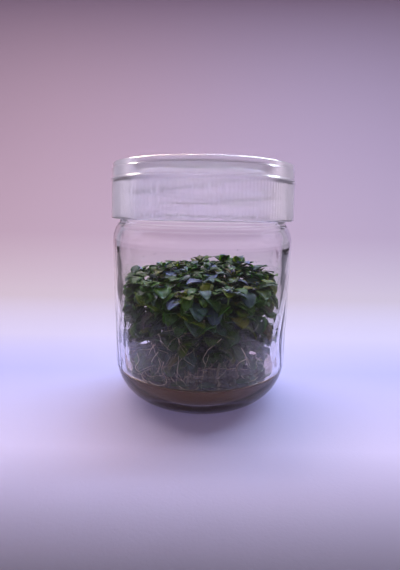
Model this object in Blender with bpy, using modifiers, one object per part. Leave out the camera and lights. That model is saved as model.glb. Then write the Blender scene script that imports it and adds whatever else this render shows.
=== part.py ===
"""A glass tissue-culture jar with a screw lid, and a dense clump of Ludwigia plantlets in nutrient gel.

Metres, +Z up. The origin is the middle of the jar's foot, on the surface that it stands on, and -Y is
the front. The jar, the lid and the gel are turned shapes. Each plantlet is a stem with its lower leaves,
which stands in the gel, and a crown of leaves on the stem's tip. A few loose leaves lie on the gel near
the glass.
"""

import math

import bmesh
import bpy
from mathutils import Matrix, Vector
from mathutils.bvhtree import BVHTree

MM = 0.001
GAP = 0.3 * MM  # clearance kept between pieces that touch
SEGMENTS = 32  # facets round every turned piece
DOWN_FRONT = math.radians(-90)  # the azimuth of the jar's front

# Jar
BODY_RADIUS = 38.3 * MM  # at the shoulder
FOOT_RADIUS = 37.6 * MM  # where the wall turns into the heel
WALL = 2.8 * MM
FLOOR = 4.2 * MM
HEEL_WIDTH = 16.5 * MM
HEEL_HEIGHT = 18.5 * MM
HEEL_STEPS = 4
SHOULDER_FROM = 69 * MM
SHOULDER_TO = 77 * MM
NECK_RADIUS = 34.9 * MM
NECK_WALL = 2.6 * MM
LIP_HEIGHT = 96 * MM
NECK_BEAD_TOP = 84.0 * MM  # the ring below the threads
NECK_BEAD_LOW = 79.4 * MM
NECK_BEAD_PROUD = 1.1 * MM
PUSH_UP = 1.0 * MM  # how far the middle of the foot is raised
FOOT_RING_INNER = 18.5 * MM

# Three-start thread on the jar's neck
THREAD_STARTS = 3
THREAD_LEAD = 17 * MM  # rise in a full turn
THREAD_SWEEP = math.radians(128)
THREAD_LOW = 85.4 * MM
THREAD_RADIUS = 1.3 * MM
THREAD_POINTS = 8
THREAD_FIRST_END = math.radians(-87)  # azimuth of the first thread's lower end

# Lid
LID_TOP = 100 * MM
LID_LOW = 77.8 * MM
LID_TOP_RADIUS = 38.0 * MM
LID_LOW_RADIUS = 38.6 * MM
LID_WALL = 1.4 * MM
LID_PLATE_TOP = 98.8 * MM
LID_PLATE_UNDER = LIP_HEIGHT + GAP
RIM_WIDTH = 1.3 * MM  # of the stacking rim round the plate
BEAD_AT = 93.4 * MM
BEAD_PROUD = 0.35 * MM
BEAD_HALF = 0.4 * MM

# Nutrient gel
GEL_TOP = 14.5 * MM

# Plantlets
# Rings of plantlets: how many, radius, azimuth of the first in degrees
SHOOT_RINGS = ((4, 6.6 * MM, 30), (8, 17.4 * MM, 8), (12, 28.6 * MM, 20))
SHOOTS = sum(count for count, _, _ in SHOOT_RINGS)
SPREAD = SHOOT_RINGS[-1][1]  # distance of the outermost stems from the jar's axis
PLACE_WOBBLE = 1.2 * MM
TURN_WOBBLE = math.radians(5)
ROOTED = 5 * MM  # depth of a stem's foot in the gel
STEM_BASE_RADIUS = 0.62 * MM
STEM_TIP_RADIUS = 0.45 * MM
STEM_SIDES = 4
STEM_BEND = 0.35 * MM
CROWN_MIDDLE = 54.4 * MM  # height of the crowns on the jar's axis
CROWN_DROP = 3.4 * MM  # how much lower the outermost crowns are
FRONT_DROP = 2.6 * MM  # how much lower the front crowns are than those on the axis
CROWN_WOBBLE = 1.3 * MM
HUMP = 3.4 * MM  # how much higher the tallest crowns are, to the right of the axis
HUMP_PLACE = (13 * MM, 4 * MM)
HUMP_RADIUS = 7 * MM
LEAF_TIERS = (0.30, 0.62, 0.87)  # a stem's lower leaves, as shares of its height over the gel
TIER_LENGTHS = (4.8 * MM, 5.4 * MM, 6.2 * MM)
FOOT_SHARE = 0.7  # a stem's distance from the axis at the gel, as a share of its crown's distance
CORE_RADIUS = 0.62 * MM
CORE_SIDES = 5
TIER = 0.85 * MM  # height of one storey of a crown's core
LEAF_THICKNESS = 0.42 * MM
LEAVES_REACH = 34.9 * MM  # the leaves stay within this distance of the jar's axis
TURNS_TRIED = 20
SIZES_TRIED = (1.0, 0.94, 0.88, 0.82, 0.76, 0.7)
LEAF_FOLD = 0.22  # rise of a leaf's edges over its midrib, as a share of its half width

# Loose leaves on the gel: azimuth from the front, in degrees, and length
LOOSE_LEAVES = (
    (-58, 5.8 * MM),
    (-36, 6.4 * MM),
    (-15, 6.0 * MM),
    (5, 6.2 * MM),
    (34, 5.6 * MM),
)
LOOSE_RADIUS = 30.4 * MM


def clear_scene():
    for obj in list(bpy.data.objects):
        bpy.data.objects.remove(obj, do_unlink=True)


def new_collection(name, hidden=False):
    collection = bpy.data.collections.new(name)
    bpy.context.scene.collection.children.link(collection)
    collection.hide_render = hidden
    return collection


def make_material(name, colour, roughness, transmission=0.0, ior=1.45):
    material = bpy.data.materials.new(name)
    material.use_nodes = True
    shader = material.node_tree.nodes["Principled BSDF"]
    shader.inputs["Base Color"].default_value = (*colour, 1.0)
    shader.inputs["Roughness"].default_value = roughness
    shader.inputs["Metallic"].default_value = 0.0
    shader.inputs["Transmission Weight"].default_value = transmission
    shader.inputs["IOR"].default_value = ior
    return material


def add_object(name, mesh, material, collection):
    obj = bpy.data.objects.new(name, mesh)
    collection.objects.link(obj)
    mesh.materials.append(material)
    return obj


def finish_bmesh(bm, name):
    """A bmesh as a mesh whose faces point out and are shaded smooth."""
    bmesh.ops.recalc_face_normals(bm, faces=bm.faces)
    mesh = bpy.data.meshes.new(name)
    bm.to_mesh(mesh)
    bm.free()
    mesh.shade_smooth()
    mesh.set_sharp_from_angle(angle=math.radians(40))
    return mesh


def turned(name, profile, material, collection):
    """A profile of (radius, height) points, turned round the Z axis with a Screw modifier."""
    mesh = bpy.data.meshes.new(name)
    points = [(radius, 0.0, height) for radius, height in profile]
    mesh.from_pydata(points, [(i, i + 1) for i in range(len(points) - 1)], [])
    obj = add_object(name, mesh, material, collection)
    screw = obj.modifiers.new("Turn", "SCREW")
    screw.steps = screw.render_steps = SEGMENTS
    screw.use_merge_vertices = True
    screw.merge_threshold = 0.00001
    screw.use_smooth_shade = True
    return obj


def heel_arc(centre, half_width, half_height, first, last):
    """Points on the lower quarter of an ellipse, between two angles: 90 degrees is its lowest point."""
    angles = [first + (last - first) * i / HEEL_STEPS for i in range(HEEL_STEPS + 1)]
    return [
        (centre[0] + half_width * math.cos(a), centre[1] - half_height * math.sin(a))
        for a in angles
    ]


def floor_profile(offset, top=HEEL_HEIGHT):
    """The inside of the jar's floor and heel, from the axis up to a height, moved inwards by offset."""
    width = HEEL_WIDTH - WALL
    height = HEEL_HEIGHT - FLOOR - offset
    last = math.asin((HEEL_HEIGHT - top) / height)
    centre = (FOOT_RADIUS - WALL - width, HEEL_HEIGHT)
    heel = heel_arc(centre, width - offset, height, math.pi / 2, last)
    return [(0.0, FLOOR + offset)] + heel


def jar_profile():
    neck_inner = NECK_RADIUS - NECK_WALL
    body_inner = BODY_RADIUS - WALL
    bead_radius = NECK_RADIUS + NECK_BEAD_PROUD
    inside = floor_profile(0.0) + [
        (body_inner, SHOULDER_FROM - 1 * MM),
        (body_inner - 0.8 * MM, SHOULDER_FROM + 2.2 * MM),
        (neck_inner, SHOULDER_TO - 2.2 * MM),
        (neck_inner, LIP_HEIGHT - 0.6 * MM),
    ]
    lip = [
        (neck_inner + 0.7 * MM, LIP_HEIGHT),
        (NECK_RADIUS - 0.7 * MM, LIP_HEIGHT),
        (NECK_RADIUS, LIP_HEIGHT - 0.7 * MM),
    ]
    outside = [
        (NECK_RADIUS, NECK_BEAD_TOP),
        (bead_radius, NECK_BEAD_TOP - 0.9 * MM),
        (bead_radius, NECK_BEAD_LOW + 0.9 * MM),
        (NECK_RADIUS + 0.1 * MM, NECK_BEAD_LOW - 0.6 * MM),
        (NECK_RADIUS + 1.2 * MM, SHOULDER_TO - 2.0 * MM),
        (BODY_RADIUS - 0.5 * MM, SHOULDER_FROM + 3.0 * MM),
        (BODY_RADIUS, SHOULDER_FROM),
    ]
    centre = (FOOT_RADIUS - HEEL_WIDTH, HEEL_HEIGHT)
    heel = heel_arc(centre, HEEL_WIDTH, HEEL_HEIGHT, 0.0, math.pi / 2)
    foot = [(FOOT_RING_INNER, 0.0), (0.0, PUSH_UP)]
    return inside + lip + outside + heel + foot


def thread_curve(start):
    """One thread as a tapered tube on a helix, half sunk in the neck's wall."""
    curve = bpy.data.curves.new(f"thread_{start + 1}", "CURVE")
    curve.dimensions = "3D"
    curve.bevel_depth = THREAD_RADIUS
    curve.bevel_resolution = 1
    curve.use_fill_caps = True
    spline = curve.splines.new("POLY")
    spline.points.add(THREAD_POINTS - 1)
    for i, point in enumerate(spline.points):
        share = i / (THREAD_POINTS - 1)
        turn = THREAD_SWEEP * share
        angle = THREAD_FIRST_END + start * math.tau / THREAD_STARTS + turn
        height = THREAD_LOW + THREAD_LEAD * turn / math.tau
        point.co = (
            NECK_RADIUS * math.cos(angle),
            NECK_RADIUS * math.sin(angle),
            height,
            1.0,
        )
        point.radius = min(1.0, 0.45 + 6 * min(share, 1 - share))
    return curve


def curve_to_mesh_object(curve, collection):
    """The curve's evaluated tube as a mesh object, with its caps welded."""
    guide = bpy.data.objects.new(curve.name + "_guide", curve)
    collection.objects.link(guide)
    graph = bpy.context.evaluated_depsgraph_get()
    mesh = bpy.data.meshes.new_from_object(guide.evaluated_get(graph))
    bm = bmesh.new()
    bm.from_mesh(mesh)
    bmesh.ops.remove_doubles(bm, verts=bm.verts, dist=0.00001)
    bmesh.ops.recalc_face_normals(bm, faces=bm.faces)
    bm.to_mesh(mesh)
    bm.free()
    obj = bpy.data.objects.new(curve.name, mesh)
    obj.matrix_world = guide.matrix_world
    collection.objects.link(obj)
    bpy.data.objects.remove(guide)
    obj.hide_render = True
    obj.display_type = "WIRE"
    return obj


def add_boolean(obj, other, operation):
    modifier = obj.modifiers.new(other.name, "BOOLEAN")
    modifier.operation = operation
    modifier.object = other


def build_jar(collection, cutters):
    glass = make_material("jar_glass", (0.93, 0.95, 0.97), 0.03, 1.0, 1.5)
    jar = turned("glass_jar", jar_profile(), glass, collection)
    for start in range(THREAD_STARTS):
        thread = curve_to_mesh_object(thread_curve(start), cutters)
        add_boolean(jar, thread, "UNION")


def lid_radius(height):
    """Outer radius of the lid's skirt, which widens a little towards its open end."""
    share = (LID_TOP - height) / (LID_TOP - LID_LOW)
    return LID_TOP_RADIUS + (LID_LOW_RADIUS - LID_TOP_RADIUS) * share


def lid_profile():
    under = LID_PLATE_UNDER
    inside = [
        (0.0, under),
        (lid_radius(under) - LID_WALL - 0.8 * MM, under),
        (lid_radius(under) - LID_WALL, under - 1.2 * MM),
        (LID_LOW_RADIUS - LID_WALL, LID_LOW),
    ]
    bead = [
        (lid_radius(BEAD_AT), BEAD_AT - BEAD_HALF - BEAD_PROUD),
        (lid_radius(BEAD_AT) + BEAD_PROUD, BEAD_AT - BEAD_HALF),
        (lid_radius(BEAD_AT) + BEAD_PROUD, BEAD_AT + BEAD_HALF),
        (lid_radius(BEAD_AT), BEAD_AT + BEAD_HALF + BEAD_PROUD),
    ]
    rim = [
        (LID_TOP_RADIUS - 0.5 * MM, LID_TOP),
        (LID_TOP_RADIUS, LID_TOP - 0.6 * MM),
    ]
    plate = [
        (0.0, LID_PLATE_TOP),
        (LID_TOP_RADIUS - RIM_WIDTH - 0.8 * MM, LID_PLATE_TOP),
        (LID_TOP_RADIUS - RIM_WIDTH, LID_TOP),
    ]
    # Round the section from under the plate, down inside the skirt, up outside it and back over the plate
    section = inside + [(LID_LOW_RADIUS, LID_LOW)] + bead + rim[::-1] + plate[::-1]
    return section[::-1]


def build_lid(collection):
    plastic = make_material("frosted_plastic", (0.86, 0.88, 0.94), 0.35, 0.6)
    turned("screw_lid", lid_profile(), plastic, collection)


def noise(*seeds):
    """A repeatable number from 0 to 1 for a few seed numbers."""
    value = sum(seed * weight for seed, weight in zip(seeds, (12.9898, 78.233, 37.719)))
    return math.sin(value) * 43758.5453 % 1.0


def shoot_place(index):
    """(x, y, height of the crown's foot) of a plantlet: uneven rings under a low domed canopy with a hump."""
    number = index
    for count, ring, first in SHOOT_RINGS:
        if number < count:
            break
        number -= count
    radius = ring - PLACE_WOBBLE * noise(index, 2, 3)
    turn = math.radians(first) + number * math.tau / count
    turn += TURN_WOBBLE * (2 * noise(index, 4, 1) - 1)
    x, y = radius * math.cos(turn), radius * math.sin(turn)
    height = CROWN_MIDDLE - CROWN_DROP * (radius / SPREAD) ** 4 + FRONT_DROP * y / SPREAD
    from_hump = math.hypot(x - HUMP_PLACE[0], y - HUMP_PLACE[1]) / HUMP_RADIUS
    height += HUMP * math.exp(-(from_hump**2))
    return x, y, height + CROWN_WOBBLE * (2 * noise(index, 3) - 1)


def radial_frame(azimuth, elevation):
    """(along, side, up) of a leaf that points out at an azimuth and an elevation."""
    out = Vector((math.cos(azimuth), math.sin(azimuth), 0))
    side = Vector((-math.sin(azimuth), math.cos(azimuth), 0))
    high = Vector((0, 0, 1))
    along = out * math.cos(elevation) + high * math.sin(elevation)
    return along, side, high * math.cos(elevation) - out * math.sin(elevation)


def push_out(bm, face, corners):
    """Extrudes one face and puts the corners of its end where they are asked for."""
    end = bmesh.ops.extrude_discrete_faces(bm, faces=[face])["faces"][0]
    for loop, corner in zip(end.loops, corners):
        loop.vert.co = corner
    return end


def grow_leaf(bm, face, azimuth, elevation, length, width, sections, droop):
    """Grows a leaf out of a four-sided face: a folded blade whose midrib droops towards its tip.

    sections holds (share of the length, share of the half width) of each ring before the tip."""
    _, side, up = radial_frame(azimuth, 0)
    centre = face.calc_center_median()
    order = list(face.loops)
    # The corners of a face run counterclockwise seen from outside, so the list starts at the lower left one
    first = min(
        range(4),
        key=lambda i: (order[i].vert.co - centre).dot(side)
        + (order[i].vert.co - centre).dot(up),
    )
    place, done = centre.copy(), 0.0
    for share, half in [*sections, (1.0, 0.0)]:
        bend = elevation - droop * (done + share) / 2
        along, side, up = radial_frame(azimuth, bend)
        place = place + along * length * (share - done)
        done = share
        edge = width / 2 * half
        thick = LEAF_THICKNESS / 2
        corners = [
            place - side * edge + up * edge * LEAF_FOLD,
            place - up * thick,
            place + side * edge + up * edge * LEAF_FOLD,
            place + up * thick,
        ]
        face = push_out(bm, face, corners[-first:] + corners[:-first])
    bmesh.ops.pointmerge(bm, verts=list(face.verts), merge_co=place)


FULL_BLADE = ((0.3, 0.86), (0.68, 0.9))
SMALL_BLADE = ((0.5, 1.0),)


def side_face(bm, azimuth, height):
    """The four-sided face that looks most nearly along an azimuth at a height."""
    look = Vector((math.cos(azimuth), math.sin(azimuth), 0))

    def fault(face):
        off = 1 - face.normal.dot(look)
        return off + abs(face.calc_center_median().z - height) / TIER

    return min((f for f in bm.faces if len(f.verts) == 4), key=fault)


def raise_cap(bm, place, scale):
    """Extrudes the topmost cap, moves its middle to a place and scales it."""
    bm.faces.ensure_lookup_table()
    cap = max(bm.faces, key=lambda f: f.calc_center_median().z)
    middle = cap.calc_center_median()
    corners = [place + (loop.vert.co - middle) * scale for loop in cap.loops]
    end = push_out(bm, cap, corners)
    bm.normal_update()
    return end


def rod(sides, radius, low, high):
    """A short upright rod from Blender's cone primitive, as a bmesh."""
    bm = bmesh.new()
    bmesh.ops.create_cone(
        bm,
        cap_ends=True,
        segments=sides,
        radius1=radius,
        radius2=radius,
        depth=high - low,
        matrix=Matrix.Translation((0, 0, (high + low) / 2)),
    )
    bm.normal_update()
    return bm


def face_azimuth(sides, number):
    """Azimuth of a rod's side face. Blender's cone has a corner on +Y."""
    return math.pi / 2 + (number + 0.5) * math.tau / sides


def crown_leaves(index):
    """(storey, side, elevation, length, width, blade) of each leaf of a crown, in 2/5 spiral order."""
    size = 1.0 + 0.1 * (2 * noise(index, 5) - 1)
    plan = (
        (0, 0, 12, 6.0, 4.3, FULL_BLADE),
        (0, 2, 17, 5.9, 4.4, FULL_BLADE),
        (0, 4, 22, 5.7, 4.1, FULL_BLADE),
        (1, 1, 34, 5.6, 4.0, FULL_BLADE),
        (1, 3, 39, 5.3, 3.8, FULL_BLADE),
        (2, 0, 58, 3.8, 2.5, SMALL_BLADE),
        (2, 2, 64, 3.5, 2.3, SMALL_BLADE),
    )
    for storey, side, elevation, length, width, blade in plan:
        tilt = math.radians(elevation + 7 * (noise(index, side, storey) - 0.5))
        yield storey, side, tilt, length * size * MM, width * size * MM, blade


def lean_of(index):
    """The shear that brings a stem's foot nearer to the jar's axis, about its tip, in its own frame."""
    x, y, top = shoot_place(index)
    slope = (1 - FOOT_SHARE) / (top - GEL_TOP)
    lean = Matrix.Identity(4)
    lean[0][2], lean[0][3] = slope * x, -slope * x * top
    lean[1][2], lean[1][3] = slope * y, -slope * y * top
    return lean


def tree_of(corners, mesh):
    return BVHTree.FromPolygons(corners, [tuple(f.vertices) for f in mesh.polygons])


def settle(obj, first_turn, standing, lean):
    """Turns a piece, and makes it narrower if need be, until it clears the glass and its neighbours.

    The piece is tested grown outwards by half the clearance. The lean is applied after the turn."""
    mesh = obj.data
    for size in SIZES_TRIED:
        narrow = Matrix.Diagonal((size, size, 1, 1))
        for step in range(TURNS_TRIED):
            turn = first_turn + step * math.tau / TURNS_TRIED
            shape = lean @ Matrix.Rotation(turn, 4, "Z") @ narrow
            grown = [shape @ (v.co + v.normal * GAP / 2) + obj.location for v in mesh.vertices]
            if max(corner.xy.length for corner in grown) > LEAVES_REACH:
                continue
            tree = tree_of(grown, mesh)
            if not any(tree.overlap(other) for other in standing):
                standing.append(tree)
                mesh.transform(shape)
                return
    raise ValueError(f"{obj.name} finds no room")


def build_crown(index, material, collection, standing):
    x, y, height = shoot_place(index)
    bm = rod(CORE_SIDES, CORE_RADIUS, 0.0, TIER)
    raise_cap(bm, Vector((0, 0, 2 * TIER)), 0.85)
    raise_cap(bm, Vector((0, 0, 3 * TIER)), 0.75)
    for storey, side, tilt, length, width, blade in crown_leaves(index):
        azimuth = face_azimuth(CORE_SIDES, side)
        face = side_face(bm, azimuth, (storey + 0.5) * TIER)
        grow_leaf(bm, face, azimuth, tilt, length, width, blade, math.radians(26))
        bm.normal_update()
    name = f"leaf_crown_{index + 1:02d}"
    crown = add_object(name, finish_bmesh(bm, name), material, collection)
    crown.location = (x, y, height + GAP)
    settle(crown, math.tau * noise(index, 1), standing, Matrix.Identity(4))


def stem_rings(index):
    """Heights of a stem's rings: a close pair at each lower leaf, for the leaf to grow from."""
    top = shoot_place(index)[2]
    nodes = [GEL_TOP + share * (top - GEL_TOP) for share in LEAF_TIERS]
    nodes = [z + 1.5 * MM * (noise(index, k, 7) - 0.5) for k, z in enumerate(nodes)]
    return nodes, top


def build_stem(index, material, collection, standing):
    x, y, _ = shoot_place(index)
    nodes, top = stem_rings(index)
    foot = GEL_TOP - ROOTED
    half = 0.45 * MM
    bm = rod(STEM_SIDES, STEM_BASE_RADIUS, foot, nodes[0] - half)
    taper = (STEM_TIP_RADIUS / STEM_BASE_RADIUS) ** (1 / 3)
    for k, node in enumerate(nodes):
        bend = 2 * math.pi * noise(index, k, 9)
        place = Vector((math.cos(bend), math.sin(bend), 0)) * STEM_BEND
        if k:
            raise_cap(bm, place + Vector((0, 0, node - half)), taper)
        else:
            place = Vector((0, 0, 0))
        raise_cap(bm, place + Vector((0, 0, node + half)), 1.0)
    raise_cap(bm, Vector((0, 0, top)), taper)
    for k, node in enumerate(nodes):
        for side in (k, k + 2):
            azimuth = face_azimuth(STEM_SIDES, side)
            face = side_face(bm, azimuth, node)
            length = TIER_LENGTHS[k] + 0.9 * MM * noise(index, side, 11)
            tilt = math.radians(14 + 28 * noise(index, k, side))
            droop = math.radians(15)
            grow_leaf(bm, face, azimuth, tilt, length, 0.66 * length, SMALL_BLADE, droop)
            bm.normal_update()
    name = f"stem_{index + 1:02d}"
    stem = add_object(name, finish_bmesh(bm, name), material, collection)
    stem.location = (x, y, 0)
    settle(stem, math.tau * noise(index, 2), standing, lean_of(index))


def build_gel(collection, cutters):
    """The set gel: it fills the jar's foot, with a socket round each stem's foot."""
    amber = make_material("nutrient_gel", (0.30, 0.17, 0.07), 0.1, 0.8, 1.34)
    profile = floor_profile(GAP, GEL_TOP) + [(0.0, GEL_TOP)]
    gel = turned("nutrient_gel", profile, amber, collection)
    sockets = bmesh.new()
    reach = ROOTED + GAP
    upright = Matrix.Translation((0, 0, GEL_TOP))
    for index in range(SHOOTS):
        x, y, _ = shoot_place(index)
        bmesh.ops.create_cone(
            sockets,
            cap_ends=True,
            segments=4,
            radius1=STEM_BASE_RADIUS + 0.6 * MM,
            radius2=STEM_BASE_RADIUS + 0.6 * MM,
            depth=2 * reach,
            matrix=Matrix.Translation((x, y, 0)) @ lean_of(index) @ upright,
        )
    mesh = finish_bmesh(sockets, "stem_sockets")
    cutter = bpy.data.objects.new("stem_sockets", mesh)
    cutters.objects.link(cutter)
    cutter.hide_render = True
    cutter.display_type = "WIRE"
    add_boolean(gel, cutter, "DIFFERENCE")


def build_loose_leaves(material, collection):
    """Single leaves that have dropped and lie flat on the gel, along the glass."""
    for number, (from_front, length) in enumerate(LOOSE_LEAVES, start=1):
        angle = DOWN_FRONT + math.radians(from_front)
        bm = bmesh.new()
        bmesh.ops.create_cube(bm, size=0.7 * MM)
        bm.normal_update()
        grow_leaf(
            bm, side_face(bm, 0.0, 0.0), 0.0, 0.0, length, 0.62 * length, FULL_BLADE, 0.0
        )
        name = f"loose_leaf_{number}"
        leaf = add_object(name, finish_bmesh(bm, name), material, collection)
        start = length / 2 / LOOSE_RADIUS
        leaf.location = (
            LOOSE_RADIUS * math.cos(angle - start),
            LOOSE_RADIUS * math.sin(angle - start),
            GEL_TOP + GAP + 0.36 * MM,
        )
        leaf.rotation_euler = (0, 0, angle + math.pi / 2)


def main():
    clear_scene()
    collection = new_collection("culture_jar")
    cutters = new_collection("cutters", hidden=True)
    build_jar(collection, cutters)
    build_lid(collection)
    build_gel(collection, cutters)
    leaf = make_material("leaf", (0.06, 0.16, 0.03), 0.35)
    young = make_material("crown_leaf", (0.13, 0.22, 0.05), 0.3)
    stalk = make_material("stem", (0.20, 0.27, 0.10), 0.45)
    standing = []
    for index in range(SHOOTS):
        build_stem(index, stalk, collection, standing)
        build_crown(index, young, collection, standing)
    build_loose_leaves(leaf, collection)


main()
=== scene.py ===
import math

import bpy
import numpy as np
from mathutils import Matrix, Vector


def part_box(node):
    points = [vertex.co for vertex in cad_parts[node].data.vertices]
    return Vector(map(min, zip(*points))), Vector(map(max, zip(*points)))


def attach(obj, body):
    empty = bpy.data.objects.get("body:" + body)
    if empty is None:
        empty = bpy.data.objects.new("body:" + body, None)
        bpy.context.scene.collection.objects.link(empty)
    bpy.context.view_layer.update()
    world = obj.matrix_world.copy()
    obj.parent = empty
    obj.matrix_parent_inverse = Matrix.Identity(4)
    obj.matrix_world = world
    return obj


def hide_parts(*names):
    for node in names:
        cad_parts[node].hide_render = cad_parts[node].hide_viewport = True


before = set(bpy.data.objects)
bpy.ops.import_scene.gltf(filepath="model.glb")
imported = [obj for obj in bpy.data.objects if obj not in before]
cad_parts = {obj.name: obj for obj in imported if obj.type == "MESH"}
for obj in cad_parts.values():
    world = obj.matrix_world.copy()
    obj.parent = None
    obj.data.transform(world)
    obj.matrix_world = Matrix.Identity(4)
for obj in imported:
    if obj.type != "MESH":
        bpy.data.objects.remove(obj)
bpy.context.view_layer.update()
MM = 0.001

# The sheet that the jar stands on
# A length of pale lavender paper, narrow in front, lies flat under the jar and rises in a wide bend behind it. Two
# long lamps in one line, a warm and a cool one, hang above it behind the jar, so its shadow falls to the front.
SHEET_ACROSS = 33
SHEET_ALONG = 97
SHEET_FRONT = -0.105
FLAT_UNTIL = 0.25
BEND_RADIUS = 0.45
RISE_ABOVE_BEND = 0.9
BEND_FROM, BEND_SHARE = 0.5, 0.22
RISE_FROM, RISE_SHARE = 0.72, 0.28
HALF_WIDTH_AT = ([SHEET_FRONT, 0.0, 0.16, FLAT_UNTIL, 0.5, 0.7], [0.115, 0.115, 0.19, 0.24, 0.38, 0.52])


def put_mesh(name, points, faces):
    """A smooth mesh object at the origin from an (n, 3) array of points and an array or list of faces."""
    mesh = bpy.data.meshes.new(name)
    faces = faces.tolist() if isinstance(faces, np.ndarray) else faces
    mesh.from_pydata(np.asarray(points, float).tolist(), [], faces)
    mesh.shade_smooth()
    piece = bpy.data.objects.new(name, mesh)
    bpy.context.scene.collection.objects.link(piece)
    return piece


def grid_faces(rows, columns, wrap_columns=False):
    """Quads of a grid of rows by columns of points. With wrap_columns the last column meets the first."""
    across = columns if wrap_columns else columns - 1
    r, c = np.meshgrid(np.arange(rows - 1), np.arange(across), indexing="ij")
    n = (c + 1) % columns
    quads = [r * columns + c, r * columns + n, (r + 1) * columns + n, (r + 1) * columns + c]
    return np.stack(quads, -1).reshape(-1, 4)


def new_material(name, **values):
    """A Principled material with plain numbers on its sockets, and its tree, shader and texture coordinates."""
    material = bpy.data.materials.new(name)
    material.use_nodes = True
    tree = material.node_tree
    shader = tree.nodes["Principled BSDF"]
    for socket, value in values.items():
        shader.inputs[socket.replace("_", " ")].default_value = value
    coordinates = tree.nodes.new("ShaderNodeTexCoord")
    return material, tree, shader, coordinates


def node(tree, kind, **values):
    """A shader node of one kind. Names of sockets take numbers or colours, and other names are its properties."""
    made = tree.nodes.new("ShaderNode" + kind)
    for key, value in values.items():
        socket = made.inputs.get(key.replace("_", " "))
        if socket is not None:
            socket.default_value = value
        else:
            setattr(made, key, value)
    return made


def joined(tree, kind, *given, **values):
    """The first output of a new shader node, whose sockets take the given outputs and numbers in their order."""
    made = node(tree, kind, **values)
    for socket, value in zip(made.inputs, given):
        if isinstance(value, bpy.types.NodeSocket):
            tree.links.new(value, socket)
        else:
            socket.default_value = value
    return made.outputs[0]


def ramp(tree, factor, *stops):
    """A colour ramp over a factor, from (position, colour) stops."""
    made = tree.nodes.new("ShaderNodeValToRGB")
    elements = made.color_ramp.elements
    while len(elements) < len(stops):
        elements.new(0.5)
    for element, (position, colour) in zip(elements, stops):
        element.position = position
        element.color = (*colour, 1.0)
    tree.links.new(factor, made.inputs[0])
    return made.outputs["Color"]


def make_grain():
    """The node group grain: cloudy noise over a place, as a Value from 0 to 1 and as a bumped Normal."""
    group = bpy.data.node_groups.new("grain", "ShaderNodeTree")
    group.interface.new_socket(name="Place", in_out="INPUT", socket_type="NodeSocketVector")
    for name in ("Scale", "Strength", "Depth"):
        group.interface.new_socket(name=name, in_out="INPUT", socket_type="NodeSocketFloat")
    group.interface.new_socket(name="Value", in_out="OUTPUT", socket_type="NodeSocketFloat")
    group.interface.new_socket(name="Normal", in_out="OUTPUT", socket_type="NodeSocketVector")
    start = group.nodes.new("NodeGroupInput")
    end = group.nodes.new("NodeGroupOutput")
    cloud = node(group, "TexNoise", Detail=4.0, Distortion=0.6)
    bump = node(group, "Bump")
    group.links.new(start.outputs["Place"], cloud.inputs["Vector"])
    group.links.new(start.outputs["Scale"], cloud.inputs["Scale"])
    group.links.new(cloud.outputs[0], bump.inputs["Height"])
    group.links.new(start.outputs["Strength"], bump.inputs["Strength"])
    group.links.new(start.outputs["Depth"], bump.inputs["Distance"])
    group.links.new(cloud.outputs[0], end.inputs["Value"])
    group.links.new(bump.outputs["Normal"], end.inputs["Normal"])
    return group


GRAIN = make_grain()


def add_grain(tree, coordinates, scale, strength, depth):
    """The grain of a material's surface: its bumped normal goes to the shader, and its value is given back."""
    made = tree.nodes.new("ShaderNodeGroup")
    made.node_tree = GRAIN
    made.inputs["Scale"].default_value = scale
    made.inputs["Strength"].default_value = strength
    made.inputs["Depth"].default_value = depth
    tree.links.new(coordinates.outputs["Object"], made.inputs["Place"])
    tree.links.new(made.outputs["Normal"], tree.nodes["Principled BSDF"].inputs["Normal"])
    return made.outputs["Value"]


# Point (t, across) of the sheet: flat from its front edge, then a quarter circle, then straight up
across, sheet_t = np.meshgrid(np.linspace(-1, 1, SHEET_ACROSS), np.linspace(0, 1, SHEET_ALONG))
bend = np.clip((sheet_t - BEND_FROM) / BEND_SHARE, 0, 1) * math.pi / 2
rise = np.clip(sheet_t - RISE_FROM, 0, 1) / RISE_SHARE
sheet_y = np.interp(sheet_t, [0, BEND_FROM], [SHEET_FRONT, FLAT_UNTIL]) + BEND_RADIUS * np.sin(bend)
sheet_x = across * np.interp(sheet_y, *HALF_WIDTH_AT)
sheet_z = BEND_RADIUS * (1 - np.cos(bend)) + RISE_ABOVE_BEND * rise
sheet = put_mesh(
    "paper_sheet",
    np.stack([sheet_x, sheet_y, sheet_z], -1).reshape(-1, 3),
    grid_faces(SHEET_ALONG, SHEET_ACROSS),
)
paper, tree, shader, coordinates = new_material("lavender_paper", Roughness=0.8)
add_grain(tree, coordinates, 900.0, 0.15, 0.0004)
place = node(tree, "SeparateXYZ")
tree.links.new(coordinates.outputs["Object"], place.inputs[0])
along = joined(tree, "Math", place.outputs["Y"], place.outputs["Z"], operation="ADD")
# The ramp paints light and shade into the paper's colour: painted shade at its front edge, in front of the jar,
# lightest just in front of the jar, bluer under it, darker back and up the backdrop: painted falloff of light.
paper_shading = ramp(
    tree,
    joined(tree, "MapRange", along, From_Min=-0.1, From_Max=0.9),
    (0.0, (0.160, 0.145, 0.195)),
    (0.05, (0.731, 0.688, 0.966)),
    (0.12, (0.518, 0.537, 0.949)),
    (0.18, (0.615, 0.597, 0.812)),
    (0.30, (0.492, 0.440, 0.512)),
    (0.60, (0.374, 0.296, 0.385)),
    (0.95, (0.362, 0.282, 0.378)),
)
tree.links.new(paper_shading, shader.inputs["Base Color"])
sheet.data.materials.append(paper)

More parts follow.
